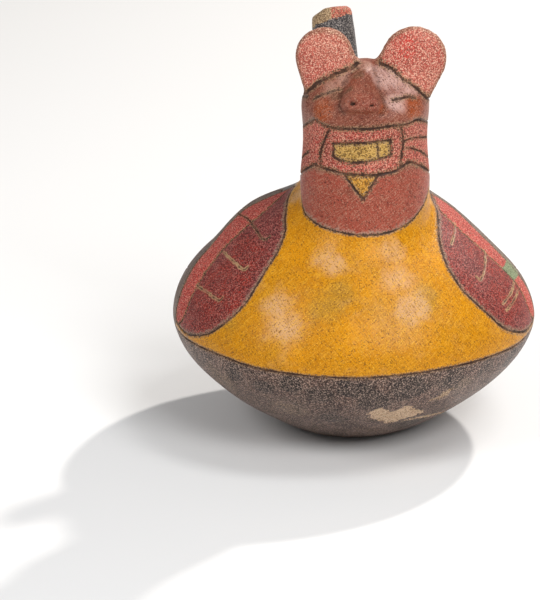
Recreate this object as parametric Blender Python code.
"""Bird effigy vessel: a hand-built clay bottle in the shape of a bird, fired as one piece.

A squat round chamber stands on a small flattened foot. A broad neck rises from its front and
closes as a head with a nose and two upright crest lobes. A narrow spout rises behind it,
leaning back, and a flat strap bridges the two. The chamber, neck and spout are hollow and the
spout's mouth is the only opening.

Metres, +Z up. The bird looks along -Y, and +X is on its own left. The origin is the centre of
the foot, on the surface that the vessel stands on. Angles round the vessel start at the front
and grow towards +X.
"""
import math

import bmesh
import bpy
from mathutils import Vector

# Chamber: its profile below and above the keel follows (1 - share ** fullness) ** taper
BODY_RADIUS = 0.072
BODY_FULLNESS = 1.7
KEEL_HEIGHT = 0.045
FOOT_RADIUS = 0.024
UNDERSIDE_TAPER = 0.92
SHOULDER_RISE = 0.072
SHOULDER_TAPER = 1.16

# Neck and head: the crown starts to close a little above the shoulder's peak
NECK_AXIS = Vector((0.0046, -0.017))
NECK_HALF_WIDTH = 0.0250
NECK_HALF_DEPTH = 0.0250
NECK_RISE = 0.016
NECK_WAIST = 0.0011
NECK_WAIST_DROP = 0.011
NECK_WAIST_REACH = 0.018
BREAST_BLEND = 0.014
FLANK_BLEND = 0.006
NAPE_BLEND = 0.011
CENTRE_SHIFT_START = 0.005
CENTRE_SHIFT_END = 0.045
CROWN_RISE = 0.0195
CROWN_WIDTH_CURVE = (2.2, 0.60)
CROWN_DEPTH_CURVE = (1.6, 0.75)

# Face, turned a little to the bird's right; each RISE is above the start of the crown
FACE_TURN = math.radians(-4.5)
FACE_FADE = 1.4
NOSE_HEIGHT = 0.0060
NOSE_TIP_RISE = 0.0085
NOSE_BRIDGE_LENGTH = 0.0115
NOSE_UNDERSIDE = 0.0056
NOSE_TIP_HALF_WIDTH = 0.0122
NOSE_ROOT_HALF_WIDTH = 0.0045
NOSE_RIDGE_FULLNESS = 1.5
NOSE_FLANK_FULLNESS = 1.25
EYE_ANGLE = math.radians(36)
EYE_RISE = 0.0115
EYE_HOLLOW = 0.0016
EYE_REACH = 0.0055
EYE_STRETCH = 2.0
CHEEK_RISE = 0.0015
CHEEK_SWELL = 0.0012
CHEEK_REACH = 0.0065
CHEEK_STRETCH = 1.6

# Crest lobes: the ends of each lobe's middle line, across from the neck's axis and up from
# the start of the crown
RIGHT_CREST = {"root": (-0.0111, 0.006), "tip": (-0.0158, 0.0211), "radius": 0.0113}
LEFT_CREST = {"root": (0.0104, 0.004), "tip": (0.0185, 0.0200), "radius": 0.0124}
CREST_SET_BACK = 0.0015
CREST_ROOT_THICKNESS = 0.022
CREST_TIP_THICKNESS = 0.0092
CREST_SQUARENESS = 2.7
CREST_TOP_CLOSE = 0.997

# Spout: its axis starts under the shoulder and leans back and to the bird's right
SPOUT_PLACE = Vector((-0.0025, 0.0300))
SPOUT_ROOT_SINK = 0.0085
SPOUT_RISE = 0.0706
SPOUT_LEAN_BACK = math.radians(17.7)
SPOUT_LEAN_RIGHT = math.radians(5.4)
SPOUT_TIP_RADIUS = 0.0080
SPOUT_ROOT_RADIUS = 0.0118
SPOUT_FLARE = 0.0040
SPOUT_FLARE_LENGTH = 0.022
SPOUT_LIP_ROUND = 0.0014

# Strap between the head and the spout
BRIDGE_DROP = 0.0025
BRIDGE_WIDTH = 0.015
BRIDGE_THICKNESS = 0.0070
BRIDGE_ARCH = 0.0025
BRIDGE_END_FLARE = 0.0025
BRIDGE_EDGE_ROUND = 0.0024
BRIDGE_SINK = 0.0085

# Walls
CHAMBER_WALL = 0.0046
SHOULDER_WALL_DROP = 1.4
NECK_WALL = 0.0050
CROWN_WALL = 0.0065
SPOUT_LIP_WALL = 0.0032
SPOUT_ROOT_WALL = 0.0046

# Heights that follow
SHOULDER_PEAK_HEIGHT = KEEL_HEIGHT + SHOULDER_RISE
CROWN_START_HEIGHT = SHOULDER_PEAK_HEIGHT + NECK_RISE
CROWN_HEIGHT = CROWN_START_HEIGHT + CROWN_RISE
NECK_WAIST_HEIGHT = CROWN_START_HEIGHT - NECK_WAIST_DROP

# Rows and columns of the lofts
COLUMNS = 60
CAVITY_COLUMNS = 40
UNDERSIDE_ROWS = 9
SHOULDER_ROWS = 20
FACE_ROWS = 4
CROWN_ROWS = 15
ROW_CROWDING = 1.6
CROWN_FLAT = 0.004
CREST_STEPS = 6
CREST_SIDES = 20
SPOUT_SIDES = 28
SPOUT_ROWS = 9
LIP_STEPS = 3
BRIDGE_STEPS = 8
BRIDGE_CORNER_STEPS = 3
OVERCUT = 0.004

PAINTED_CLAY = {"color": (0.47, 0.25, 0.035, 1.0), "roughness": 0.55, "metallic": 0.0}


def clear_scene():
    for old in list(bpy.data.objects):
        bpy.data.objects.remove(old)


def clamp(value, low=0.0, high=1.0):
    return max(low, min(high, value))


def ease(value):
    """Rises from 0 to 1 with a level start and end."""
    value = clamp(value)
    return value * value * (3 - 2 * value)


def bell(distance):
    """1 at distance 0, falling smoothly to 0 at distance 1."""
    return (1 - distance * distance) ** 2 if abs(distance) < 1 else 0.0


def smooth_largest(first, second, blend):
    """The larger of two radii, with the corner where they cross filled over the blend."""
    closeness = max(blend - abs(first - second), 0.0) / blend
    return max(first, second) + closeness * closeness * blend / 4


def chamber_radius(height, wall):
    """Radius of the chamber at a height: two fullness curves that meet upright at the keel."""
    widest = BODY_RADIUS - wall
    if height < KEEL_HEIGHT:
        share = clamp((KEEL_HEIGHT - height) / (KEEL_HEIGHT - wall))
        rim = FOOT_RADIUS - wall
        return rim + (widest - rim) * (1 - share**BODY_FULLNESS) ** UNDERSIDE_TAPER
    rise = SHOULDER_RISE - SHOULDER_WALL_DROP * wall
    share = clamp((height - KEEL_HEIGHT) / rise)
    return widest * (1 - share**BODY_FULLNESS) ** SHOULDER_TAPER


def shoulder_height(radius):
    """The height at which the shoulder has a radius: chamber_radius solved for the height."""
    share = (1 - (radius / BODY_RADIUS) ** (1 / SHOULDER_TAPER)) ** (1 / BODY_FULLNESS)
    return KEEL_HEIGHT + SHOULDER_RISE * share


def section_centre(height):
    """The middle of the section at a height: the chamber's axis below, the neck's above."""
    above_keel = height - KEEL_HEIGHT
    shift = (above_keel - CENTRE_SHIFT_START) / (CENTRE_SHIFT_END - CENTRE_SHIFT_START)
    return NECK_AXIS * ease(shift)


def head_half_sizes(height, wall):
    """Half width and half depth of the neck and head, which close over the crown."""
    waist = NECK_WAIST * bell((height - NECK_WAIST_HEIGHT) / NECK_WAIST_REACH)
    rise = CROWN_RISE - (CROWN_WALL if wall else 0.0)
    share = clamp((height - CROWN_START_HEIGHT) / rise)
    width_fullness, width_taper = CROWN_WIDTH_CURVE
    depth_fullness, depth_taper = CROWN_DEPTH_CURVE
    half_width = (NECK_HALF_WIDTH - waist - wall) * (1 - share**width_fullness) ** width_taper
    half_depth = (NECK_HALF_DEPTH - waist - wall) * (1 - share**depth_fullness) ** depth_taper
    return half_width, half_depth


def face_relief(angle, height):
    """Height of the nose, eye hollows and cheeks above the plain head."""
    turn = math.remainder(angle - FACE_TURN, 2 * math.pi)
    if abs(turn) > math.pi / 2:
        return 0.0
    across = turn * NECK_HALF_WIDTH
    level = height - CROWN_START_HEIGHT
    above_tip = level - NOSE_TIP_RISE
    rise = clamp(above_tip / NOSE_BRIDGE_LENGTH)
    along = ease(1 + above_tip / NOSE_UNDERSIDE) if above_tip < 0 else 1 - rise**NOSE_RIDGE_FULLNESS
    half = NOSE_TIP_HALF_WIDTH + (NOSE_ROOT_HALF_WIDTH - NOSE_TIP_HALF_WIDTH) * rise
    relief = NOSE_HEIGHT * along * ease(NOSE_FLANK_FULLNESS * (1 - abs(across) / half))
    for side in (-1, 1):
        sideways = across - side * EYE_ANGLE * NECK_HALF_WIDTH
        eye = math.hypot(sideways / EYE_STRETCH, level - EYE_RISE) / EYE_REACH
        cheek = math.hypot(sideways / CHEEK_STRETCH, level - CHEEK_RISE) / CHEEK_REACH
        relief += CHEEK_SWELL * bell(cheek) - EYE_HOLLOW * bell(eye)
    return relief


def section_radius(angle, height, chamber_wall=0.0, neck_wall=0.0):
    """Distance from the section's centre to the surface, in the direction of an angle."""
    direction = Vector((math.sin(angle), -math.cos(angle)))
    centre = section_centre(height)
    towards = centre.dot(direction)
    round_chamber = chamber_radius(height, chamber_wall)
    reach = round_chamber**2 - centre.length_squared + towards**2
    chamber = math.sqrt(max(reach, 0.0)) - towards if round_chamber > 0 else 0.0
    if height < KEEL_HEIGHT:
        return chamber
    half_width, half_depth = head_half_sizes(height, neck_wall)
    flat = math.hypot(half_depth * direction.x, half_width * direction.y)
    neck = half_width * half_depth / flat if flat > 0 else 0.0
    end_blend = BREAST_BLEND if math.cos(angle) > 0 else NAPE_BLEND
    blend = FLANK_BLEND + (end_blend - FLANK_BLEND) * math.cos(angle) ** 2
    radius = smooth_largest(chamber, neck, blend)
    if not neck_wall and height > NECK_WAIST_HEIGHT:
        radius += face_relief(angle, height) * clamp(neck / NECK_HALF_DEPTH * FACE_FADE)
    return radius


def section_ring(height, columns, chamber_wall=0.0, neck_wall=0.0):
    centre = section_centre(height)
    ring = []
    for column in range(columns):
        angle = 2 * math.pi * column / columns
        radius = section_radius(angle, height, chamber_wall, neck_wall)
        across = centre.x + radius * math.sin(angle)
        along = centre.y - radius * math.cos(angle)
        ring.append((across, along, height))
    return ring


def spread(start, end, steps, crowding=1.0):
    """Heights from start to end; a crowding above 1 puts more of them near the start."""
    return [start + (end - start) * (step / steps) ** crowding for step in range(steps + 1)]


def closed_loft(name, rings):
    """A closed solid through rings of equal length, with a flat face over each end."""
    count = len(rings[0])
    points = [point for ring in rings for point in ring]
    faces = [tuple(reversed(range(count)))]
    for row in range(len(rings) - 1):
        for column in range(count):
            following = (column + 1) % count
            low, high = row * count, (row + 1) * count
            faces.append((low + column, low + following, high + following, high + column))
    last = (len(rings) - 1) * count
    faces.append(tuple(last + column for column in range(count)))
    mesh = bpy.data.meshes.new(name)
    mesh.from_pydata(points, [], faces)
    mesh.validate()
    solid = bpy.data.objects.new(name, mesh)
    bpy.context.scene.collection.objects.link(solid)
    return solid


def make_pot():
    """Chamber, neck and head in one run of sections from the foot to the crown."""
    underside = spread(0.0, KEEL_HEIGHT, UNDERSIDE_ROWS, ROW_CROWDING)[:-1]
    shoulder = spread(KEEL_HEIGHT, NECK_WAIST_HEIGHT, SHOULDER_ROWS)
    face = spread(NECK_WAIST_HEIGHT, CROWN_START_HEIGHT, FACE_ROWS)[1:]
    crown = spread(CROWN_HEIGHT, CROWN_START_HEIGHT, CROWN_ROWS, ROW_CROWDING)[-2:0:-1]
    heights = underside + shoulder + face + crown + [CROWN_HEIGHT - CROWN_RISE * CROWN_FLAT]
    return closed_loft("vessel", [section_ring(height, COLUMNS) for height in heights])


def make_cavity():
    """The hollow of the chamber, neck and head, a wall's thickness inside the pot."""
    top = CROWN_HEIGHT - CROWN_WALL
    low = spread(CHAMBER_WALL, KEEL_HEIGHT, UNDERSIDE_ROWS, ROW_CROWDING)
    middle = spread(KEEL_HEIGHT, NECK_WAIST_HEIGHT, SHOULDER_ROWS // 2)[1:]
    high = spread(top, NECK_WAIST_HEIGHT, CROWN_ROWS // 2, ROW_CROWDING)[-2:0:-1]
    heights = low + middle + high + [top - CROWN_RISE * CROWN_FLAT]
    rings = [section_ring(h, CAVITY_COLUMNS, CHAMBER_WALL, NECK_WALL) for h in heights]
    return closed_loft("cavity", rings)


def make_crest(name, shape):
    """A thick upright lobe: squared ovals along its middle line, closing over a round top."""
    place = Vector((NECK_AXIS.x, CROWN_START_HEIGHT))
    root, tip = place + Vector(shape["root"]), place + Vector(shape["tip"])
    depth_place = NECK_AXIS.y - CREST_SET_BACK
    radius = shape["radius"]
    reach = (tip - root).length
    line = (tip - root) / reach
    aside = Vector((line.y, -line.x))
    stations = spread(0.0, reach, CREST_STEPS)
    quarter = math.pi / 2 / CREST_STEPS
    stations += [reach + radius * math.sin(quarter * step) for step in range(1, CREST_STEPS)]
    stations.append(reach + radius * CREST_TOP_CLOSE)
    rings = []
    for along in stations:
        low = 1 - clamp(along / reach)
        past = max(along - reach, 0.0) / radius
        half_width = radius * math.sqrt(1 - past**2)
        thickness = CREST_TIP_THICKNESS + (CREST_ROOT_THICKNESS - CREST_TIP_THICKNESS) * low**2
        half_thick = thickness / 2 * math.sqrt(1 - past**4)
        ring = []
        for side in range(CREST_SIDES):
            across, out = squared_oval(2 * math.pi * side / CREST_SIDES)
            point = root + line * along + aside * half_width * across
            ring.append((point.x, depth_place + half_thick * out, point.y))
        rings.append(ring)
    return closed_loft(name, rings)


def squared_oval(angle):
    """A point of a circle pushed out towards its corners by the power CREST_SQUARENESS."""
    power = 2 / CREST_SQUARENESS
    across = math.copysign(abs(math.cos(angle)) ** power, math.cos(angle))
    out = math.copysign(abs(math.sin(angle)) ** power, math.sin(angle))
    return across, out


def tube_ring(centre, axis, radius, sides):
    across = axis.orthogonal().normalized()
    beside = axis.cross(across)
    angles = [2 * math.pi * side / sides for side in range(sides)]
    return [centre + (across * math.cos(a) + beside * math.sin(a)) * radius for a in angles]


def spout_axis_at(height):
    """The point of the spout's axis at a height."""
    root = spout_root()
    lean = Vector((-math.tan(SPOUT_LEAN_RIGHT), math.tan(SPOUT_LEAN_BACK), 1.0))
    return root + lean * (height - root.z)


def spout_root():
    return Vector((*SPOUT_PLACE, shoulder_height(SPOUT_PLACE.length) - SPOUT_ROOT_SINK))


def make_spout():
    """A tube that narrows to a rounded lip and flares where it is luted to the shoulder."""
    root = spout_root()
    reach = spout_axis_at(root.z + SPOUT_RISE) - root
    axis, length = reach.normalized(), reach.length
    taper = (SPOUT_ROOT_RADIUS - SPOUT_TIP_RADIUS) / length
    rings = []
    for along in spread(0.0, length - SPOUT_LIP_ROUND, SPOUT_ROWS):
        flare = SPOUT_FLARE * (1 - clamp(along / SPOUT_FLARE_LENGTH)) ** 2
        radius = SPOUT_ROOT_RADIUS - taper * along + flare
        rings.append(tube_ring(root + axis * along, axis, radius, SPOUT_SIDES))
    for step in range(1, LIP_STEPS + 1):
        turn = math.pi / 2 * step / LIP_STEPS
        along = length - SPOUT_LIP_ROUND * (1 - math.sin(turn))
        radius = SPOUT_TIP_RADIUS - SPOUT_LIP_ROUND * (1 - math.cos(turn))
        rings.append(tube_ring(root + axis * along, axis, radius, SPOUT_SIDES))
    return closed_loft("spout", rings)


def make_bore():
    """The spout's bore, from above its mouth down into the chamber."""
    root = spout_root()
    tip = spout_axis_at(root.z + SPOUT_RISE)
    axis = (tip - root).normalized()
    low = tube_ring(root - axis * OVERCUT, axis, SPOUT_ROOT_RADIUS - SPOUT_ROOT_WALL, SPOUT_SIDES)
    high = tube_ring(tip + axis * OVERCUT, axis, SPOUT_TIP_RADIUS - SPOUT_LIP_WALL, SPOUT_SIDES)
    return closed_loft("bore", [low, high])


def make_bridge():
    """A flat strap with round edges, arched a little and wider where it is luted on."""
    height = CROWN_START_HEIGHT - BRIDGE_DROP
    spout = spout_axis_at(height)
    start = Vector((NECK_AXIS.x, NECK_AXIS.y + NECK_HALF_DEPTH - BRIDGE_SINK, height))
    end = Vector((spout.x, spout.y - SPOUT_TIP_RADIUS + BRIDGE_SINK, height))
    half_width, half_thickness = BRIDGE_WIDTH / 2, BRIDGE_THICKNESS / 2
    corners = ((1, 1), (-1, 1), (-1, -1), (1, -1))
    rings = []
    for step in range(BRIDGE_STEPS + 1):
        share = step / BRIDGE_STEPS
        middle = start.lerp(end, share)
        middle.z += BRIDGE_ARCH * math.sin(math.pi * share)
        flare = BRIDGE_END_FLARE * abs(2 * share - 1) ** 3
        wide = half_width + flare - BRIDGE_EDGE_ROUND
        thick = half_thickness + flare - BRIDGE_EDGE_ROUND
        ring = []
        for corner, (side, level) in enumerate(corners):
            for part in range(BRIDGE_CORNER_STEPS + 1):
                angle = math.pi / 2 * (corner + part / BRIDGE_CORNER_STEPS)
                x = middle.x + side * wide + BRIDGE_EDGE_ROUND * math.cos(angle)
                z = middle.z + level * thick + BRIDGE_EDGE_ROUND * math.sin(angle)
                ring.append((x, middle.y, z))
        rings.append(ring)
    return closed_loft("bridge", rings)


def shape_with(solid, tool, operation):
    """Joins a tool shape to the solid, or cuts it away, and keeps the tool as a guide."""
    tool.hide_render = True
    tool.display_type = "WIRE"
    step = solid.modifiers.new(f"{operation.lower()}_{tool.name}", "BOOLEAN")
    step.operation = operation
    step.object = tool
    step.solver = "EXACT"


def painted_clay():
    material = bpy.data.materials.new("painted_clay")
    material.use_nodes = True
    shader = material.node_tree.nodes["Principled BSDF"]
    shader.inputs["Base Color"].default_value = PAINTED_CLAY["color"]
    shader.inputs["Roughness"].default_value = PAINTED_CLAY["roughness"]
    shader.inputs["Metallic"].default_value = PAINTED_CLAY["metallic"]
    return material


def face_outwards(solid):
    """Turns a loft whose rings ran the other way round, so that its faces point out."""
    shape = bmesh.new()
    shape.from_mesh(solid.data)
    bmesh.ops.recalc_face_normals(shape, faces=shape.faces)
    shape.to_mesh(solid.data)
    shape.free()


def main():
    clear_scene()
    vessel = make_pot()
    joined = [
        make_crest("right_crest", RIGHT_CREST),
        make_crest("left_crest", LEFT_CREST),
        make_spout(),
        make_bridge(),
    ]
    cut = [make_cavity(), make_bore()]
    for solid in [vessel, *joined, *cut]:
        face_outwards(solid)
    for tool in joined:
        shape_with(vessel, tool, "UNION")
    for tool in cut:
        shape_with(vessel, tool, "DIFFERENCE")
    vessel.data.materials.append(painted_clay())
    vessel.data.shade_smooth()
    vessel.data.set_sharp_from_angle(angle=math.radians(35))


main()
